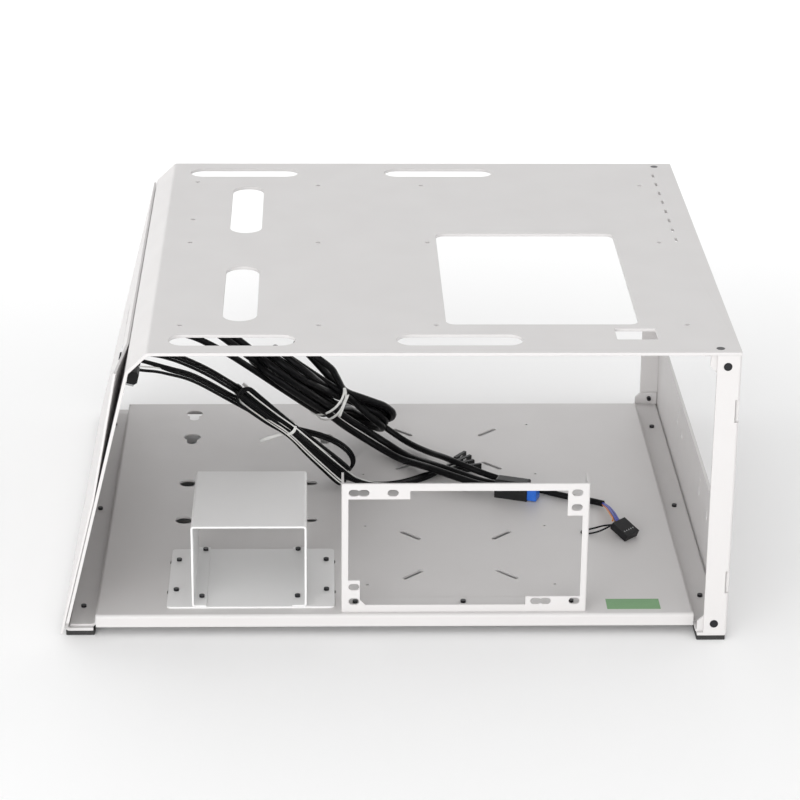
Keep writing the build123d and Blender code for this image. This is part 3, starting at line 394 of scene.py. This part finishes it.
audio = [
    port(-18), port(-18, socket_depth), (-140.0, -6.5, 136.5), (-129.5, 3.0, 129.8), (-117.0, 8.5, 121.0),
    (-106.7, 11.5, 114.0), (-93.0, 19.5, 101.2), cord_hank.at(12, -17.9, -7),
    *cord_hank.strands(
        [
            ((-17.6, -6), (-14.9, -2.6), (-1, 23.5)),
            ((2.0, -15), (1.0, 7.8), (12.0, -4)),
            ((2.0, 15), (5.4, -7.4), (4.0, -6.5)),
        ],
        [(42, 115), (18, 115), (18, 118)],
    ),
    (-5.9, 91.9, 32.4), (4.9, 93.0, 23.7), (17.5, 86.0, 17.2), (32.1, 67.5, 17.8), (41.1, 51.0, 21.6),
    (49.0, 40.0, 22.4), (57.1, 34.3, 21.0), (67.0, 30.6, 18.2), (79.0, 24.2, 16.4), (92.2, 15.0, 16.2),
    (105.3, 5.5, 16.3), (118.4, -3.1, 16.2), (131.5, -9.9, 16.2), (140.2, -13.6, 16.2), (146.3, -19.2, 16.8),
]
cord("usb_a_cord", usb_a, usb_thick, "cord_coat", ("usb_cable_a", "usb_tail_a", "cord_hank"), length=0.89,
     far_end="plug", stiffness="medium", lay="coiled", with_pieces=["usb_plug"])
cord("usb_b_cord", usb_b, usb_thick, "cord_coat", ("usb_cable_b", "usb_tail_b"), length=0.95,
     far_end="plug", stiffness="medium", lay="coiled", with_pieces=["usb_plug_insert"])
cord("audio_cord", audio, audio_thick, "cord_coat", ("audio_cable", "audio_tail"), length=0.73,
     far_end="connector", stiffness="medium", lay="coiled", with_pieces=["audio_plug"])

# Front panel leads: two ribbons of four thin wires, folded into the small hank, then to four plugs.
# Wires 0 and 1 are the power switch's, 2 and 3 the reset switch's, and each light has two of the rest.
lead_hank = Hank((-97.7, -10.0, 98.1), (-25.6, 20.7, 19.5), waist=48, drawn_in=0.38)
wire_thick, white_thick = 2.0, 0.95
white_wires = (1, 5)
wire_lengths = (0.74, 0.77, 0.75, 0.75, 0.75, 0.73, 0.75, 0.77)
wire_nodes = {0: ("switch_leads", "lead_hank", "lead_tail"), 2: ("reset_lead",), 4: ("light_leads",)}

# Where each pair leaves its switch or light, and how its two wires stand apart
pin_places = (
    ((-164.86, -78.0, 137.07), (-164.86, -71.0, 137.07)),
    ((-161.66, -58.0, 136.28), (-154.86, -58.0, 134.61)),
    ((-169.82, -44.5, 138.28), (-157.19, -43.5, 135.18)),
    ((-169.82, -40.5, 138.28), (-157.19, -41.5, 135.18)),
)
power_pin_row, pin_row = Vector((0.24, 0.0, 0.8)), Vector((0.0, 1.6, 0.0))

# Ribbons: their routes, the way across each, and the places of four wires across and behind
switch_route = [
    (-158.6, -66.0, 134.6), (-151.0, -59.0, 131.3), (-142.9, -51.5, 126.3), (-130.8, -42.0, 119.3),
    (-118.6, -32.0, 108.5), (-106.8, -20.5, 96.4),
]
light_route = [
    (-148.0, -39.0, 133.6), (-137.3, -36.0, 129.0), (-120.5, -27.5, 117.4), (-105.5, -16.5, 103.0),
]
ribbon_routes = (switch_route, switch_route[2:], light_route, light_route)
switch_across, light_across = Vector((0.317, 0.345, 0.883)), Vector((0.38, 0.33, 0.86))
ribbon_cells = ((-2.05, 0.0), (0.6, 1.7), (0.0, 0.0), (2.05, 0.0))

# Strands in the small hank. Most black wires lie in columns, which are drawn together by the tie and bow at
# the head. The rest are placed one by one: where they fold at the head, then (across, deep) of each strand
# at the head, the tie and the foot.
black_columns = {0: -5.3, 2: -3.2, 3: -1.1, 4: 1.1}
head_width, head_shift = 1.02, -1.6
tie_width, foot_shift = 0.62, -0.3
exit_width, exit_shift = 0.5, -1.0
head_fold, head_bow = 5.0, 0.27
drawn_lanes = {
    1: (5.0, [
        ((-5.0, -9.6), (-2.6, -6.2), (-5.0, -9.0)),
        ((-4.0, 5.0), (-1.5, 6.0), (-3.5, 4.0)),
        ((-7.2, -9.2), (-3.8, -5.6), (-6.6, -9.0)),
        ((0.0, 4.0), (0.0, 6.0), (-4.5, 5.0)),
        ((1.0, -9.6), (3.0, -6.0), (2.5, -9.5)),
    ]),
    5: (5.0, [
        ((-2.8, -8.6), (-0.8, -5.6), (0.5, -4.0)),
        ((2.0, 6.0), (1.0, 6.0), (0.5, 6.0)),
        ((2.0, -4.0), (1.0, -1.0), (2.0, -4.0)),
        ((3.0, 6.0), (2.0, 5.0), (2.0, 6.0)),
        ((3.0, -4.0), (2.0, -2.0), (3.5, -6.0)),
    ]),
    6: (1.8, [
        ((1.7, -3.5), (2.0, 0.0), (2.9, -6.0)),
        ((2.6, -8.6), (1.8, -4.4), (2.9, 6.0)),
        ((-5.8, -8.6), (-1.8, -4.4), (-3.5, -8.2)),
        ((-3.0, 4.0), (-1.0, 4.2), (-3.5, 5.0)),
        ((-3.2, -8.4), (0.2, -4.4), (0.9, -8.6)),
    ]),
    7: (1.2, [
        ((3.8, -3.5), (3.3, 0.0), (5.0, -6.0)),
        ((3.9, -10.4), (3.3, -4.6), (5.0, 6.0)),
        ((-9.0, -10.4), (-4.2, -4.6), (-8.0, -8.0)),
        ((-4.9, 5.0), (-2.2, 5.6), (-6.5, 5.0)),
        ((-4.2, -10.2), (-1.4, -5.0), (1.6, -10.5)),
    ]),
}
lead_foot, last_foot, lead_exit = 99, 96, 100

# Tails over the floor: white wires start on top and sink under the black ones, which lie in two layers
tail_route = [
    (-22.0, 19.6, 18.2), (-11.5, 16.2, 16.2), (0.0, 15.5, 16.0), (11.5, 19.0, 16.1), (21.5, 26.2, 16.0),
    (31.5, 34.5, 16.1),
]
tail_pitch = Vector((0.7975, -1.16, 0.0))
white_lift, white_sink = 2.0, 0.72
black_lift, layer_lift = -1.2, 1.6

# Lead plugs: where each one's far end lies and the way it points in degrees, and its sizes
plug_ends = ((56.9, 69.2, 56.6), (60.4, 62.5, 45.6), (62.3, 54.0, 30.7), (67.0, 47.2, 19.9))
tray_top = 13.6
plug_long = 14.0
shell_boxes = (
    ((0, -1.3, 0), (9.6, 1.3, 5.1)), ((9.6, -1.12, 0.18), (plug_long, 1.12, 4.92)),
    ((2.0, 1.3, 1.9), (8.6, 1.5, 3.2)),
)
shell_edge = 0.18
contact_row, contact_pitch = 1.28, 2.54
window_low, window_high = Vector((4.7, -1.35, -0.55)), Vector((7.9, -1.25, 0.55))
entry_run, entry_depth = 6, 0.6


def lead_plug(number, end_x, end_y, angle):
    """Small two-pin plug: a bevelled shell with a step, a rib and two windows, its wires' end first."""
    name = f"lead_plug_{number}"
    shell = bmesh.new()
    for low, high in shell_boxes:
        add_box(shell, low, high)
    soften(shell, shell_edge)
    for pin in range(2):
        middle = Vector((0, 0, contact_row + contact_pitch * pin))
        corners = add_box(shell, middle + window_low, middle + window_high)
        for face in {face for corner in corners for face in corner.link_faces}:
            face.material_index = 1
    place = Matrix.Translation((end_x, end_y, tray_top)) @ Matrix.Rotation(math.radians(angle), 4, "Z")
    shell.transform(Matrix.Scale(MM, 4) @ place @ Matrix.Translation((-plug_long, 0, 0)))
    data = mesh_of(shell, name, coats["black_plastic"], coats["contact_metal"])
    piece = bench_piece(name, data)
    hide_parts("lead_plugs")
    return piece


def shifted(points, across, sideways, deep=0.0):
    """Route of one wire of a ribbon, beside the ribbon's own route."""
    return [Vector(point) + across * sideways + forward * deep for point in points]


def lead_start(wire):
    """First points of a lead: off its switch or light, then along its ribbon to the hank."""
    pair = wire // 2
    sideways, deep = ribbon_cells[wire % 4]
    beside = power_pin_row * sideways if pair == 0 else pin_row * (wire % 2 - 0.5)
    pins = [Vector(place) + beside for place in pin_places[pair]]
    across = switch_across if wire < 4 else light_across
    return pins + shifted(ribbon_routes[pair], across, sideways, deep)


def lead_lanes(wire):
    """How far down the hank a lead folds at the head, and the places of its five strands."""
    if wire in drawn_lanes:
        return drawn_lanes[wire]
    column = black_columns[wire]
    high, tied, low = column * head_width + head_shift, column * tie_width, column + foot_shift
    lanes = [
        ((high, -3.5), (tied, 0.0), (low, -6.0)),
        ((high, 6.0), (tied, 2.1), (low, 6.0)),
        ((high, -6.0), (tied, -2.1), (low, -8.1)),
        ((high, 8.1), (tied, 4.2), (low, 8.1)),
        ((high, -8.1), (tied, -4.2), (column * exit_width + exit_shift, -8.5)),
    ]
    return head_fold + head_bow * column ** 2, lanes


def lead_tail(wire, last_low):
    """Last points of a lead: out of the hank, over the floor and into its plug."""
    tail = [lead_hank.at(lead_exit, *last_low)]
    for number, place in enumerate(tail_route):
        if wire in white_wires:
            lift = white_lift - white_sink * number
        else:
            lift = black_lift + layer_lift * (wire // 4)
        tail.append(Vector(place) + tail_pitch * (wire % 4 - 1.5) + Vector((0, 0, lift)))
    end_x, end_y, angle = plug_ends[wire // 2]
    way = Vector((math.cos(math.radians(angle)), math.sin(math.radians(angle)), 0))
    row = contact_row + contact_pitch * (wire % 2)
    entry = Vector((end_x, end_y, tray_top + row)) - way * plug_long
    return [*tail, entry - way * entry_run, entry + way * entry_depth]


plugs = [lead_plug(number, *place) for number, place in enumerate(plug_ends)]
for wire, length in enumerate(wire_lengths):
    upper, lanes = lead_lanes(wire)
    ends = [(upper, lead_foot + wire % 3)] * (len(lanes) - 1) + [(upper, last_foot)]
    points = [*lead_start(wire), *lead_hank.strands(lanes, ends), *lead_tail(wire, lanes[-1][2])]
    thick, coat = (white_thick, "wire_white") if wire in white_wires else (wire_thick, "wire_black")
    cord(f"lead_{wire}", points, thick, coat, wire_nodes.get(wire, ()), length=length,
         far_end="plug", stiffness="limp", lay="coiled", with_pieces=[plugs[wire // 2]])

# Loose loop: two leads that leave the small hank at its tie and come back at its foot
loop_thick, loop_offsets = 2.2, (-1.1, 1.1)
loop_across = Vector((0.6, 0.28, 0.75))
loop_route = [
    (-62.5, 6.5, 61.5), (-54.0, 9.7, 58.0), (-45.0, 12.0, 54.5), (-35.0, 14.8, 49.0), (-26.8, 17.0, 42.0),
    (-22.3, 19.0, 33.9), (-23.6, 20.0, 26.5), (-28.5, 20.0, 22.5),
]
for number, sideways in enumerate(loop_offsets):
    points = shifted(loop_route, loop_across, sideways)
    loop_nodes = ("lead_loop",) if number == 0 else ()
    cord(f"loop_lead_{number}", points, loop_thick, "wire_black", loop_nodes, length=0.065,
         far_end="object", stiffness="limp", lay="hanging")

# Audio header: five coloured wires fan out of the sheath into the pin plug, with a jumper on its side.
# Each wire has its place in the sheath and in the fan, across and up, and its place along the plug.
fan_thick, jumper_thick = 1.3, 1.2
wire_route = [
    (146.3, -19.2, 16.8), (148.0, -25.0, 17.6), (149.2, -31.0, 18.6), (150.6, -46.0, 21.0),
    (151.4, -55.0, 22.0), (151.9, -61.1, 21.7),
]
fan = (
    ("wire_black_a", "wire_black", (0.7, -0.5), (1.2, -0.3), 4.14),
    ("wire_blue_a", "wire_blue", (0.6, 0.5), (0.7, 0.7), 2.07),
    ("wire_blue_b", "wire_blue", (-0.6, 0.6), (-0.6, 0.8), 0.0),
    ("wire_brown_a", "wire_brown", (0.0, -0.6), (-0.2, -0.5), -2.07),
    ("wire_orange_a", "wire_orange", (-0.7, -0.4), (-1.3, -0.1), -4.14),
)
plug_across = Vector((0.70, -0.714, 0.0))
for name, coat, near, middle, far in fan:
    spreads = ((near, 0.6), (near, 1.0), (middle, 1.0), (middle, 1.4), (middle, 1.2))
    points = [
        Vector(point) + Vector((across, 0, up)) * grow
        for point, ((across, up), grow) in zip(wire_route, spreads)
    ]
    points.append(Vector(wire_route[-1]) + plug_across * far)
    fan_nodes = ("audio_wires",) if name == "wire_black_a" else ()
    cord(name, points, fan_thick, coat, fan_nodes, slot="wire_coat", length=0.043,
         far_end="connector", stiffness="limp", lay="loose", with_pieces=["audio_plug"])
jumper_route = [
    (148.4, -64.6, 21.7), (143.5, -59.3, 19.0), (137.5, -56.8, 15.8), (131.5, -57.0, 14.6),
    (128.2, -58.6, 14.4), (128.2, -61.8, 14.4), (131.2, -63.4, 14.5), (137.4, -63.6, 15.6),
    (143.0, -64.0, 18.2), (147.0, -66.1, 21.7),
]
cord("jumper_wire", jumper_route, jumper_thick, "wire_black", ("audio_jumper",), length=0.047,
     far_end="object", stiffness="limp", lay="loose")

# Spring contacts seen in the pin plug's five windows
plug_edge = Vector((160.2, -69.3, tray_top))
plug_turn, plug_tilt = math.radians(45.6), math.radians(24.2)
window_along, window_top, window_pitch = 4.2, 5.1, 2.2
spring_boxes = (((-0.45, -0.5, -0.4), (0.45, 0.5, -0.22)), ((-0.3, -0.2, -0.22), (0.3, 0.5, -0.06)))
spring_edge = 0.05
contacts = bmesh.new()
for window in range(-2, 3):
    middle = Vector((window * window_pitch, window_along, window_top))
    for low, high in spring_boxes:
        add_box(contacts, middle + Vector(low), middle + Vector(high))
soften(contacts, spring_edge)
plug_place = (
    Matrix.Translation(plug_edge) @ Matrix.Rotation(plug_turn, 4, "Z") @ Matrix.Rotation(plug_tilt, 4, "X")
)
contacts.transform(Matrix.Scale(MM, 4) @ plug_place)
bench_piece("plug_contacts", mesh_of(contacts, "plug_contacts", coats["contact_metal"]))


# Ties: a twist tie round the thick hank and a thin tie with a tail round the leads
def strip(name, routes, wide, thick, corners=8):
    """Flat band swept along each route of points, its wide side turned away from the route's middle."""
    band = bmesh.new()
    for points, faces in routes:
        rings = []
        for index, point in enumerate(points):
            ahead = points[min(index + 1, len(points) - 1)] - points[max(index - 1, 0)]
            ahead.normalize()
            flat = faces[index] - ahead * faces[index].dot(ahead)
            flat.normalize()
            edge = ahead.cross(flat)
            ring = []
            for corner in range(corners):
                angle = math.tau * corner / corners
                out = flat * math.cos(angle) * thick / 2 + edge * math.sin(angle) * wide / 2
                ring.append(band.verts.new((point + out) * MM))
            rings.append(ring)
        for before, after in zip(rings, rings[1:]):
            for corner in range(corners):
                around = (corner + 1) % corners
                band.faces.new((before[corner], before[around], after[around], after[corner]))
        band.faces.new(rings[0][::-1])
        band.faces.new(rings[-1])
    bmesh.ops.recalc_face_normals(band, faces=band.faces[:])
    data = mesh_of(band, name, coats["white_tie"])
    for face in data.polygons:
        face.use_smooth = True
    return bench_piece(name, data)


def ring_route(hank, far, middle, across, deep, lean, steps=48):
    """Points round a hank's waist and the way that each faces, out from the waist's middle."""
    points, faces = [], []
    for step in range(steps + 1):
        angle = math.tau * step / steps
        out = (middle + math.cos(angle) * across, math.sin(angle) * deep)
        points.append(hank.at(far + lean * math.cos(angle), *out))
        faces.append(hank.at(0, math.cos(angle), math.sin(angle)) - hank.top)
    return points, faces


def twist_route(base, tip, radius, turns, phase, taper=0.35, steps=36):
    """One of two strands twisted together between two places."""
    axis = (tip - base).normalized()
    side = axis.cross(forward).normalized()
    other = axis.cross(side)
    points, faces = [], []
    for step in range(steps + 1):
        share = step / steps
        angle = phase + math.tau * turns * share
        out = side * math.cos(angle) + other * math.sin(angle)
        points.append(base.lerp(tip, share) + out * radius * (1 - taper * share))
        faces.append(out)
    return points, faces


band_thick = 1.0
twist_wide, twist_radius, twist_turns = 2.4, 0.9, 3.0
twist_base, twist_tip = cord_hank.at(70, 6.0, -11.5), cord_hank.at(73, -9.0, -15.0)
thick_tie = strip(
    "thick_tie",
    [
        ring_route(cord_hank, 66.5, middle=-4.2, across=14.4, deep=13.4, lean=2.0),
        ring_route(cord_hank, 71.5, middle=-4.2, across=14.4, deep=13.8, lean=-2.0),
        twist_route(twist_base, twist_tip, twist_radius, twist_turns, phase=0.0),
        twist_route(twist_base, twist_tip, twist_radius, twist_turns, phase=math.pi),
    ],
    twist_wide, band_thick,
)
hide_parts("cord_hank_tie")
lead_tie_wide = 2.5
tie_tail_start = lead_hank.at(46, -4.8, -4.0)
tie_tail_steps = ((0, 0, 0), (-4.5, -0.6, -1.0), (-10.0, -1.0, -2.6), (-17.0, -1.6, -5.0))
tie_tail_face = Vector((0.3, -1.0, 0.3))
tie_tail = [tie_tail_start + Vector(step) for step in tie_tail_steps]
lead_tie = strip(
    "lead_tie",
    [
        ring_route(lead_hank, lead_hank.waist, middle=-0.4, across=5.0, deep=7.8, lean=0.4),
        (tie_tail, [tie_tail_face] * len(tie_tail)),
    ],
    lead_tie_wide, band_thick,
)
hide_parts("lead_hank_tie")

# Floor, sky and lamps, in metres and watts
floor_half = 6
floor_corners = [(-floor_half, -floor_half, 0), (floor_half, -floor_half, 0), (floor_half, floor_half, 0),
                 (-floor_half, floor_half, 0)]
sky_slope, sky_strength = (-0.2, 0.0, -1.2), 1.72
floor_data = bpy.data.meshes.new("floor")
floor_data.from_pydata(floor_corners, [], [(0, 1, 2, 3)])
floor_data.materials.append(coats["floor_coat"])
floor = bpy.data.objects.new("floor", floor_data)
bpy.context.collection.objects.link(floor)
world = bpy.data.worlds.new("sky")
world.use_nodes = True
sky = world.node_tree
sky_place = sky.nodes.new("ShaderNodeTexCoord")
sky_fall = sky.nodes.new("ShaderNodeVectorMath")
sky_fall.operation = "DOT_PRODUCT"
sky_fall.inputs[1].default_value = sky_slope
sky_level = sky.nodes.new("ShaderNodeMath")
sky_level.operation = "ADD"
sky_level.inputs[1].default_value = sky_strength
sky.links.new(sky_place.outputs["Generated"], sky_fall.inputs[0])
sky.links.new(sky_fall.outputs["Value"], sky_level.inputs[0])
sky.links.new(sky_level.outputs["Value"], sky.nodes["Background"].inputs["Strength"])
sky.nodes["Background"].inputs["Color"].default_value = (1, 1, 1, 1)
bpy.context.scene.world = world
bpy.context.scene.view_settings.view_transform = "Standard"


def lamp(name, place, target, size, power):
    """Soft rectangular light."""
    data = bpy.data.lights.new(name, "AREA")
    data.shape = "RECTANGLE"
    data.size, data.size_y = size
    data.energy = power
    light = bpy.data.objects.new(name, data)
    light.location = place
    light.rotation_euler = (Vector(target) - Vector(place)).to_track_quat("-Z", "Y").to_euler()
    bpy.context.collection.objects.link(light)


lamp("front_light", place=(-0.9, -2.5, 0.6), target=(0, 0, 0.1), size=(2.0, 1.0), power=31)
lamp("back_light", place=(0, 0.9, 0.9), target=(0, 2.0, 0), size=(3.0, 0.6), power=8)
